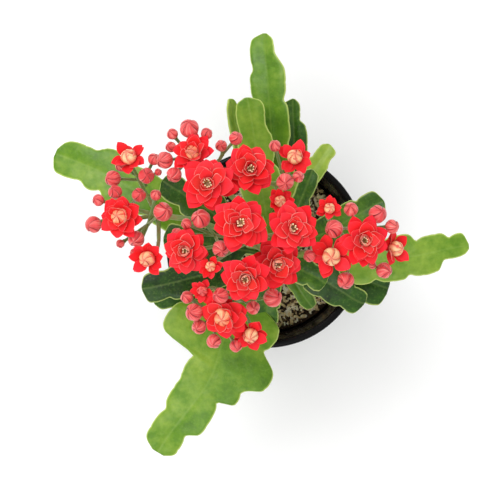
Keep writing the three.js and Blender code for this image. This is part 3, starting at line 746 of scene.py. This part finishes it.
def stamens(piece, centre, axes, radius, chance):
    """Filaments with cream anthers, leaning outwards."""
    side, up, axis = axes
    for i in range(9):
        turn = i * TAU / 9 + chance.uniform(-0.2, 0.2)
        radial = math.cos(turn) * side + math.sin(turn) * up
        reach = radius * chance.uniform(0.08, 0.17)
        top = centre + reach * radial + radius * chance.uniform(0.16, 0.3) * axis
        foot = centre + 0.3 * reach * radial
        path = bezier(foot, (foot + top) / 2 + 0.03 * radius * radial, top, 6)
        piece.tube(path, [0.2 * MM] * 4 + [0.42 * MM, 0.3 * MM], 6, STAMEN_SLOT)


def flower(name):
    """A double flower on its node's axis."""
    chance = random.Random(name)
    foot, axis, radius, openness = flower_axes(name)
    side, up = upright_frame(axis)
    axes = (side, up, axis)
    centre = foot + (FLOWER_FOOT - 0.03) * radius * axis
    piece = Piece()
    flower_tube(piece, foot, axes, radius)
    calyx(piece, foot, axes, radius, chance)
    if name in HALF_OPEN_CREAM:
        half_open(piece, centre - 0.25 * radius * axis, axes, radius, openness, chance, HALF_OPEN_CREAM[name])
    else:
        open_flower(piece, centre, axes, radius, openness, chance, FLOWER_MIDDLES[name])
    settle(piece.make(name + "_petals", [PETAL, CALYX, STAMEN, HEART, BUD]), name)


def open_flower(piece, centre, axes, radius, openness, chance, middle):
    """Whorls of petals round a closed ball, or round curled petals and stamens."""
    lift = 34 * (1 - openness)
    for layer, (count, reach, rise, curl, width, cup) in enumerate(OPEN_WHORLS):
        offset = chance.uniform(0, TAU)
        start = 0.1 * radius
        for i in range(count):
            turn = offset + (i + chance.uniform(-0.2, 0.2)) * TAU / count
            slope = rise + lift + chance.uniform(-8, 8)
            mean = math.radians(slope + curl / 2)
            length = (reach * radius * chance.uniform(0.86, 1.04) - start) / max(math.cos(mean), 0.45)
            petal(piece, centre + 0.03 * layer * radius * axes[2], axes, turn, start, length,
                  width * radius * chance.uniform(0.86, 1.12), slope, curl + chance.uniform(-10, 10), chance,
                  cup=cup, cream=(0.015 * layer * chance.uniform(0.4, 1.3), 0.12 + 0.16 * layer))
    inner = centre + 0.08 * radius * axes[2]
    if middle == "ball":
        wrapped(piece, inner + 0.2 * radius * axes[2], axes[2], 0.36 * radius, chance, HEART_SLOT, 5)
        return
    curled = middle == "curled"
    for count, share in ((4, 0.26), (3, 0.15)) if curled else ((4, 0.2),):
        offset = chance.uniform(0, TAU)
        for i in range(count):
            petal(piece, inner, axes, offset + (i + chance.uniform(-0.2, 0.2)) * TAU / count,
                  share * 0.6 * radius, 0.5 * radius * chance.uniform(0.75, 1.1), 0.2 * radius,
                  chance.uniform(58, 76), chance.uniform(0, 60 if curled else 24), chance, cup=0.5,
                  cream=(0.16 if curled else 0.04, 0.9 if curled else 0.6))
    stamens(piece, centre + 0.05 * radius * axes[2], axes, radius, chance)


def half_open(piece, centre, axes, radius, openness, chance, cream):
    """Outer petals part way up, and two that still hug a ball of closed ones."""
    size = 0.45 * radius
    kind = HEART_SLOT if cream > 0.4 else BUD_SLOT
    wrapped(piece, centre + 0.9 * size * axes[2], axes[2], size, chance, kind, 5)
    side = chance.uniform(0, TAU)
    for i in range(2):
        petal(piece, centre, axes, side + i * chance.uniform(1.3, 2.6), 0.7 * size, 1.9 * size, 0.8 * size,
              chance.uniform(66, 76), chance.uniform(22, 44), chance, cup=0.5, cream=(0.04, 0.3))
    rise = 72 - 110 * openness
    offset = chance.uniform(0, TAU)
    for layer, count in enumerate((5, 4)):
        for i in range(count):
            slope = rise + 14 * layer + chance.uniform(-12, 12)
            reach = chance.uniform(0.85, 1.08) * radius / max(math.cos(math.radians(slope - 8)), 0.7)
            petal(piece, centre, axes, offset + (i + 0.5 * layer + chance.uniform(-0.16, 0.16)) * TAU / count,
                  0.16 * radius, reach, 0.38 * radius, slope, chance.uniform(-20, 0), chance,
                  cup=0.26, cream=(0.01, 0.2))


# ---------------------------------------------------------------- buds and sprays
BUD_ROWS = 22
BUD_COLUMNS = 60


def find_buds(points, faces):
    """Centre and radius of each bud in a spray: the places that lie deepest inside its skin."""
    tree = tree_of(points, faces)
    found = []
    for face in faces:
        corners = points[face]
        centre = corners.mean(0)
        normal = unit(np.cross(corners[1] - corners[0], corners[2] - corners[0]))
        hit = tree.ray_cast(Vector(centre - 1e-5 * normal), Vector(-normal))
        if hit[0] is None:
            continue
        middle = centre - 0.5 * (hit[3] + 1e-5) * normal
        depth = tree.find_nearest(Vector(middle))[3]
        if depth > THINNEST_BUD:
            found.append((depth, middle))
    found.sort(key=lambda row: -row[0])
    buds = []
    for depth, middle in found:
        if all(np.linalg.norm(middle - centre) > 1.15 * radius for centre, radius in buds):
            near = [place for other, place in found
                    if np.linalg.norm(place - middle) < 0.5 * depth and other > 0.85 * depth]
            buds.append((np.mean(near, 0), BUD_SWELL * depth))
    return buds


def spray_hub(points, centres):
    """The point where a spray's pedicels meet, and the lower end of the stalk under it."""
    end = lowest_end(points, 1.2 * MM)
    mean = np.mean(centres, 0)
    rise = np.clip((mean[2] - SPRAY_DROP - end[2]) / SPRAY_STALK, -1, 1)
    level = mean - end
    level[2] = 0
    hub = end + SPRAY_STALK * math.sqrt(1 - rise * rise) * unit(level)
    hub[2] = mean[2] - SPRAY_DROP
    return hub, end


def wrapped(piece, centre, axis, radius, chance, kind, petals):
    """Petals wrapped into a round bud: each overlaps the next along a seam that winds up to the tip."""
    side, up = upright_frame(axis)
    twist = chance.choice((-1, 1)) * chance.uniform(0.5, 1.1)
    start = chance.uniform(0, TAU)
    shade = chance.random()
    angles = np.arange(BUD_COLUMNS) * TAU / BUD_COLUMNS
    uneven = 0.22 * np.sin(angles + start) + 0.12 * np.sin(2 * angles - shade * TAU)
    rings, marks = [], []
    for i in range(BUD_ROWS):
        share = (i + 0.35) / (BUD_ROWS - 0.3)
        polar = math.pi * share
        height = -math.cos(polar)
        width = math.sin(polar) * (1 - 0.1 * smoothstep(0.1, 1, height))
        through = np.mod((angles + uneven - twist * share * 1.4) * petals / TAU, 1)
        near = np.minimum(through, 1 - through)
        strength = smoothstep(0.2, 0.75, share)
        step = 0.15 * strength * (through - 0.5)
        groove = (0.05 + 0.09 * smoothstep(0.75, 1, share)) * strength * np.exp(-(near / 0.06) ** 2)
        swell = 0.05 * strength * np.sin(math.pi * through)
        grow = 1 + step - groove + swell
        ridge = radius * (1.04 * height + 0.1 * smoothstep(0.6, 1, height) ** 2)
        reach = radius * width * grow
        level = np.outer(reach * np.cos(angles), side) + np.outer(reach * np.sin(angles), up)
        rings.append(centre + level + np.outer(ridge * (0.5 + 0.5 * grow), axis))
        # How near a corner is to the line where one petal overlaps the next: the mask for the painted shade
        # there.
        closeness = strength * np.exp(-(near / 0.065) ** 2)
        marks.append(np.stack([np.full(BUD_COLUMNS, share), closeness, through], 1))
    piece.loft(rings, marks, shade, [kind] * BUD_COLUMNS)


def bud_calyx(piece, centre, axis, radius, chance):
    """Four small sepals folded up round the foot of a bud."""
    side, up = upright_frame(axis)
    offset = chance.uniform(0, TAU)
    foot = centre - 1.05 * radius * axis
    for i in range(4):
        petal(piece, foot, (side, up, axis), offset + i * TAU / 4, 0.2 * radius, 1.0 * radius,
              0.36 * radius, 8, 92, chance, cup=0.35, kind=SPRAY_CALYX, tip=1.0)


def spray(name):
    """A few buds with their calyxes and curved pedicels."""
    chance = random.Random(name)
    points, _, faces = merged(name)
    buds = find_buds(points, faces)
    hub, end = spray_hub(points, [centre for centre, _ in buds])
    piece = Piece()
    piece.tube(bezier(end, (end + hub) / 2, hub, 5), [PEDICEL] * 4 + [1.25 * PEDICEL], 10, SPRAY_STEM)
    for centre, radius in buds:
        out = centre - hub
        out[2] = 0
        lean = math.radians(min(35, 3 * np.linalg.norm(out) / MM))
        axis = math.sin(lean) * unit(out) + np.array([0, 0, math.cos(lean)])
        foot = centre - 0.95 * radius * axis
        bend = foot - 0.5 * np.linalg.norm(hub - foot) * axis
        path = bezier(hub, bend, foot, 16)
        swell = smoothstep(0.8, 1, np.linspace(0, 1, 16))
        piece.tube(path, PEDICEL * (0.9 + 0.5 * swell), 10, SPRAY_STEM)
        wrapped(piece, centre, axis, radius, chance, SPRAY_BUD, 4)
        bud_calyx(piece, centre, axis, radius, chance)
    settle(piece.make(name + "_spray", [BUD, CALYX, STEM]), name)


# ---------------------------------------------------------------- stems
def rounded_copy(name, voxel, rounds, swell, material, suffix):
    """A node's skin remeshed fine, smoothed, and swollen back to the thickness that smoothing takes."""
    piece = bpy.data.objects.new(name + suffix, NODES[name].data.copy())
    piece.matrix_world = NODES[name].matrix_world.copy()
    bpy.context.scene.collection.objects.link(piece)
    remesh = piece.modifiers.new("remesh", "REMESH")
    remesh.mode = "VOXEL"
    remesh.voxel_size = voxel
    smooth = piece.modifiers.new("smooth", "SMOOTH")
    smooth.factor = 0.5
    smooth.iterations = rounds
    grow = piece.modifiers.new("grow", "DISPLACE")
    grow.mid_level = 0
    grow.strength = swell
    baked(piece)
    piece.data.materials.clear()
    piece.data.materials.append(material)
    piece.data.polygons.foreach_set("use_smooth", [True] * len(piece.data.polygons))
    return piece


def flower_stem(name):
    """A flower stem with the branches that carry its flowers and sprays."""
    settle(rounded_copy(name, 0.34 * MM, 14, 0.12 * MM, STEM, "_round"), name)


def main_stem():
    """The woody stem, thicker at leaf joints."""
    piece = rounded_copy("main_stem", 0.4 * MM, 16, 0.1 * MM, WOOD, "_bark")
    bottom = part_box("main_stem")[0].z
    for vertex in piece.data.vertices:
        point = vertex.co
        joints = 0.5 + 0.5 * math.cos((point.z - bottom) * TAU / (7.5 * MM))
        knots = math.sin(point.x * 900 + point.z * 500) * math.sin(point.y * 800 - point.z * 700)
        vertex.co = point + vertex.normal * (0.3 * MM * joints ** 4 + 0.12 * MM * knots)
    settle(piece, "main_stem")


# ---------------------------------------------------------------- pot and soil
POT_SIDES = 160
FOOT_SHARE = 0.711  # the foot's radius over the rim's
WALL = 1.2 * MM
FLOOR_TOP = 2.0 * MM
LIP_DEPTH = 5 * MM
LIP_WIDTH = 2.4 * MM
STEP_DEPTH = 15 * MM  # from the rim down to the stacking step
DRAIN_HOLES = 6
DRAIN_RING = 20 * MM
DRAIN_RADIUS = 3.5 * MM
SOIL_SIDES = 120


def round_rings(outline, sides):
    """Rings round the pot's axis, one for each radius and height of an outline."""
    angles = np.arange(sides) * TAU / sides
    ring = np.stack([np.cos(angles), np.sin(angles), np.zeros(sides)], 1)
    return [radius * ring + np.array([0, 0, height]) for radius, height in outline]


def pot():
    """Thin-walled nursery pot: rolled rim, stacking step, a ridge above the foot, and drain holes."""
    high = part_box("pot")[1]
    rim, top = high.x, high.z
    foot = FOOT_SHARE * rim
    lip = top - LIP_DEPTH
    under_rim = rim - LIP_WIDTH

    def wall_at(height):
        return foot + (under_rim - foot) * height / top

    step = top - STEP_DEPTH
    outline = [(0.2 * MM, 1.2 * MM), (foot - 7 * MM, 1.2 * MM), (foot - 6.2 * MM, 0.2 * MM),
               (foot - 5.6 * MM, 0.0), (foot - 1.2 * MM, 0.0), (foot - 0.4 * MM, 0.3 * MM), (foot, 1.0 * MM),
               (wall_at(6 * MM), 6 * MM), (wall_at(6 * MM) + 0.3 * MM, 6.5 * MM), (wall_at(step), step),
               (wall_at(step) + 0.5 * MM, step + 0.5 * MM),
               (wall_at(lip) + 0.3 * MM, lip - 0.5 * MM),
               (wall_at(lip) + 0.5 * MM, lip), (rim - 0.5 * MM, lip),
               (rim - 0.1 * MM, lip + 0.3 * MM), (rim, lip + 0.9 * MM), (rim, top - 1.2 * MM),
               (rim - 0.2 * MM, top - 0.5 * MM), (rim - 0.7 * MM, top - 0.08 * MM), (rim - 1.2 * MM, top),
               (wall_at(top) - WALL + 0.5 * MM, top), (wall_at(top) - WALL + 0.1 * MM, top - 0.2 * MM),
               (wall_at(top) - WALL, top - 0.7 * MM), (wall_at(step) - WALL, step),
               (wall_at(3 * MM) - WALL, 3 * MM), (foot - 3.5 * MM, FLOOR_TOP), (0.2 * MM, FLOOR_TOP)]
    piece = Piece()
    piece.loft(round_rings(outline, POT_SIDES))
    made = piece.make("pot_shell", [POT])
    holes = Piece()
    through = round_rings([(DRAIN_RADIUS, -2 * MM), (DRAIN_RADIUS, 5 * MM)], 32)
    for i in range(DRAIN_HOLES):
        turn = i * TAU / DRAIN_HOLES
        hole = np.array([DRAIN_RING * math.cos(turn), DRAIN_RING * math.sin(turn), 0])
        holes.loft([ring + hole for ring in through])
    cutter = holes.make("pot_holes", [POT])
    cut = made.modifiers.new("holes", "BOOLEAN")
    cut.operation = "DIFFERENCE"
    cut.solver = "EXACT"
    cut.object = cutter
    baked(made)
    bpy.data.objects.remove(cutter)
    made.data.polygons.foreach_set("use_smooth", [True] * len(made.data.polygons))
    made.data.set_sharp_from_angle(angle=math.radians(50))
    settle(made, "pot")


def lump(x, y):
    """Uneven ground, as a height in millimetres."""
    waves = 0.5 * np.sin(0.9 * x + 0.4) * np.cos(0.8 * y - 0.7) + 0.3 * np.sin(1.9 * x - 1.3 * y)
    return waves + 0.25 * np.sin(3.1 * x + 2.2 * y) * np.cos(2.7 * y - 1.1 * x)


def crumb(size, chance):
    """A rough small lump, as points and faces."""
    shape = bmesh.new()
    bmesh.ops.create_icosphere(shape, subdivisions=2, radius=1.0)
    points = np.array([v.co[:] for v in shape.verts])
    faces = [[v.index for v in f.verts] for f in shape.faces]
    shape.free()
    for _ in range(4):
        way = unit(np.array([chance.gauss(0, 1) for _ in range(3)]))
        cut = chance.uniform(0.55, 0.85)
        over = np.clip(points @ way - cut, 0, None)
        points = points - np.outer(0.9 * over, way)
    wobble = 1 + 0.12 * np.sin(points @ np.array([5.0, 3.0, 4.0]) + chance.uniform(0, TAU))
    return points * wobble[:, None] * size, faces


def scatter(piece, tree, count, sizes, kind, chance, radius, height):
    """Crumbs lying on the soil."""
    for _ in range(count):
        reach = radius * math.sqrt(chance.random())
        turn = chance.uniform(0, TAU)
        x, y = reach * math.cos(turn), reach * math.sin(turn)
        hit = tree.ray_cast(Vector((x, y, height)), Vector((0, 0, -1)))
        if hit[0] is None:
            continue
        size = np.array([chance.uniform(*sizes[0]), chance.uniform(*sizes[1]), chance.uniform(*sizes[2])])
        points, faces = crumb(size * MM, chance)
        spin, tip = chance.uniform(0, TAU), chance.uniform(-0.5, 0.5)
        tilted = points @ np.array([[1, 0, 0], [0, math.cos(tip), -math.sin(tip)],
                                    [0, math.sin(tip), math.cos(tip)]])
        turned = tilted @ np.array([[math.cos(spin), -math.sin(spin), 0],
                                    [math.sin(spin), math.cos(spin), 0], [0, 0, 1]])
        rest = hit[0].z + 0.35 * size[2] * MM
        piece.solid(turned + np.array([x, y, rest]), faces, chance.random(), kind)


# Loose matter on the soil: how many, the ranges of its three sizes in millimetres, and its material.
CRUMBS = [
    (1400, ((0.5, 1.3), (0.4, 1.0), (0.3, 0.8)), PEAT_SLOT),
    (900, ((0.7, 2.8), (0.4, 1.2), (0.25, 0.7)), BARK_SLOT),
    (900, ((0.5, 1.6), (0.4, 0.9), (0.35, 0.8)), PERLITE_SLOT),
]


def soil():
    """Peat with bark chips and perlite."""
    chance = random.Random("soil")
    points, _, faces = merged("soil")
    low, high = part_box("soil")
    tree = tree_of(points, faces)
    bottom_radius = np.linalg.norm(points[points[:, 2] < low.z + 0.2 * MM][:, :2], axis=1).max()
    edge_radius = high.x
    edge = points[np.linalg.norm(points[:, :2], axis=1) > 0.98 * edge_radius][:, 2].max()
    outline = [(0.3 * MM, low.z), (bottom_radius, low.z + 0.3 * MM), (edge_radius, edge)]
    rings = round_rings(outline, SOIL_SIDES)
    for share in np.linspace(0.98, 0.01, 46):
        ring = round_rings([(share * edge_radius, high.z)], SOIL_SIDES)[0]
        for corner in ring:
            hit = tree.ray_cast(Vector((corner[0], corner[1], high.z + 0.01)), Vector((0, 0, -1)))
            ground = hit[0].z if hit[0] is not None else edge
            corner[2] = ground + 0.6 * MM * lump(corner[0] / MM, corner[1] / MM) * min(1, 12 * (1 - share))
        rings.append(ring)
    piece = Piece()
    piece.loft(rings, shade=0.35)
    inside = edge_radius - 1.5 * MM
    above = high.z + 10 * MM
    for count, sizes, kind in CRUMBS:
        scatter(piece, tree, count, sizes, kind, chance, inside, above)
    settle(piece.make("soil_ground", [PEAT, BARK, PERLITE]), "soil")


# ---------------------------------------------------------------- stage, lights and camera
def stage():
    """The plain pale floor."""
    bpy.ops.mesh.primitive_plane_add(size=6)
    floor = bpy.context.object
    floor.name = "floor"
    finish = Finish("floor", Roughness=0.9, Specular_IOR_Level=0.1)
    tone = finish.ramp(finish.noise(3, 1.0), [(0.0, "#fafafa"), (1.0, "#fdfdfd")])
    floor.data.materials.append(finish.done(tone))


def area_light(name, place, size, power, target=(0, 0, 0.1)):
    light = bpy.data.lights.new(name, "AREA")
    light.shape = "DISK"
    light.size = size
    light.energy = power
    lamp = bpy.data.objects.new(name, light)
    lamp.location = place
    lamp.rotation_euler = (Vector(target) - Vector(place)).to_track_quat("-Z", "Y").to_euler()
    bpy.context.scene.collection.objects.link(lamp)


def lights():
    """An even pale surround, with two broad soft lamps above it."""
    world = bpy.data.worlds.new("studio")
    world.use_nodes = True
    background = world.node_tree.nodes["Background"]
    background.inputs["Color"].default_value = (1, 1, 1, 1)
    background.inputs["Strength"].default_value = 0.78
    bpy.context.scene.world = world
    area_light("key", (-0.45, 0.6, 1.4), 1.0, 10.5)
    area_light("fill", (-0.3, -0.65, 1.3), 1.0, 6)
    bpy.context.scene.view_settings.view_transform = "Standard"


CAMERA_HEIGHT = 1.0
CAMERA_LEFT = 7.2 * MM  # of the pot's axis
CAMERA_FRONT = 0.6 * MM
LENS = 146.4  # in millimetres, on a 36 mm sensor


def camera():
    """Straight down over a point a little to the left of the pot's axis."""
    low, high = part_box("pot")
    data = bpy.data.cameras.new("camera")
    data.lens = LENS
    data.sensor_width = 36
    made = bpy.data.objects.new("camera", data)
    axis = (low + high) / 2
    made.location = (axis.x - CAMERA_LEFT, axis.y - CAMERA_FRONT, CAMERA_HEIGHT)
    bpy.context.scene.collection.objects.link(made)
    bpy.context.scene.camera = made


# ---------------------------------------------------------------- the whole plant
pot()
soil()
main_stem()
for stem_name in nodes_named("stem_"):
    flower_stem(stem_name)
for leaf_name in nodes_named("leaf_"):
    leaf(leaf_name)
for flower_name in nodes_named("flower_") + nodes_named("half_open_"):
    flower(flower_name)
for spray_name in nodes_named("buds_"):
    spray(spray_name)
stage()
lights()
camera()
